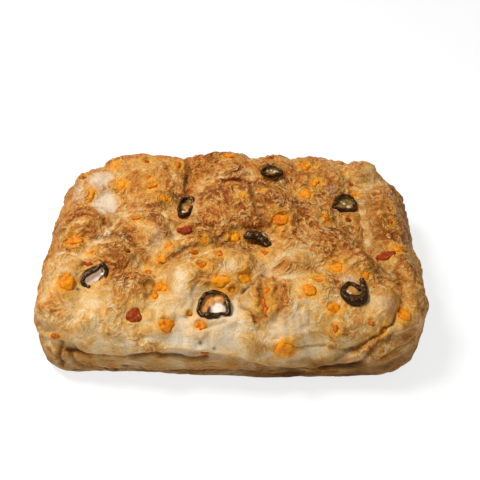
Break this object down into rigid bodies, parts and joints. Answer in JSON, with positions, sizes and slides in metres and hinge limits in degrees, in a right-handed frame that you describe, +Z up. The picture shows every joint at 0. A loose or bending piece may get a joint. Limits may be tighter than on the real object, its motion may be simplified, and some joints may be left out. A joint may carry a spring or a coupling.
{
  "type": "jalapeno focaccia",
  "caption": "Thick rectangular focaccia loaf with a lumpy, folded, browned crust, jalapeno slices pressed into the top and lumps of melted cheddar baked in.",
  "frame": {"origin": "centre of the loaf's flat underside, on the surface it rests on", "axes": "+X along the long side, +Y towards the back of the loaf, +Z up out of the crust"},
  "size_m": [0.2468, 0.1734, 0.062],
  "materials": {
    "crust": "baked crust, golden brown, lightly oiled",
    "jalapeno": "dark roasted pepper skin, glossy",
    "cheddar": "melted cheese, satin"
  },
  "bodies": {
    "root": {"bread": "crust", "jalapeno_front_left": "jalapeno", "jalapeno_front_middle": "jalapeno", "jalapeno_back_left": "jalapeno", "jalapeno_middle": "jalapeno", "jalapeno_back": "jalapeno", "jalapeno_back_right": "jalapeno", "jalapeno_front_right": "jalapeno", "cheddar_01": "cheddar", "cheddar_02": "cheddar", "cheddar_03": "cheddar", "cheddar_04": "cheddar", "cheddar_05": "cheddar", "cheddar_06": "cheddar", "cheddar_07": "cheddar", "cheddar_08": "cheddar", "cheddar_09": "cheddar", "cheddar_10": "cheddar", "cheddar_11": "cheddar", "cheddar_12": "cheddar", "cheddar_13": "cheddar", "cheddar_14": "cheddar", "cheddar_15": "cheddar", "cheddar_16": "cheddar", "cheddar_17": "cheddar", "cheddar_18": "cheddar", "cheddar_19": "cheddar", "cheddar_20": "cheddar", "cheddar_21": "cheddar", "cheddar_22": "cheddar", "cheddar_23": "cheddar", "cheddar_24": "cheddar", "cheddar_25": "cheddar"}
  },
  "joints": []
}
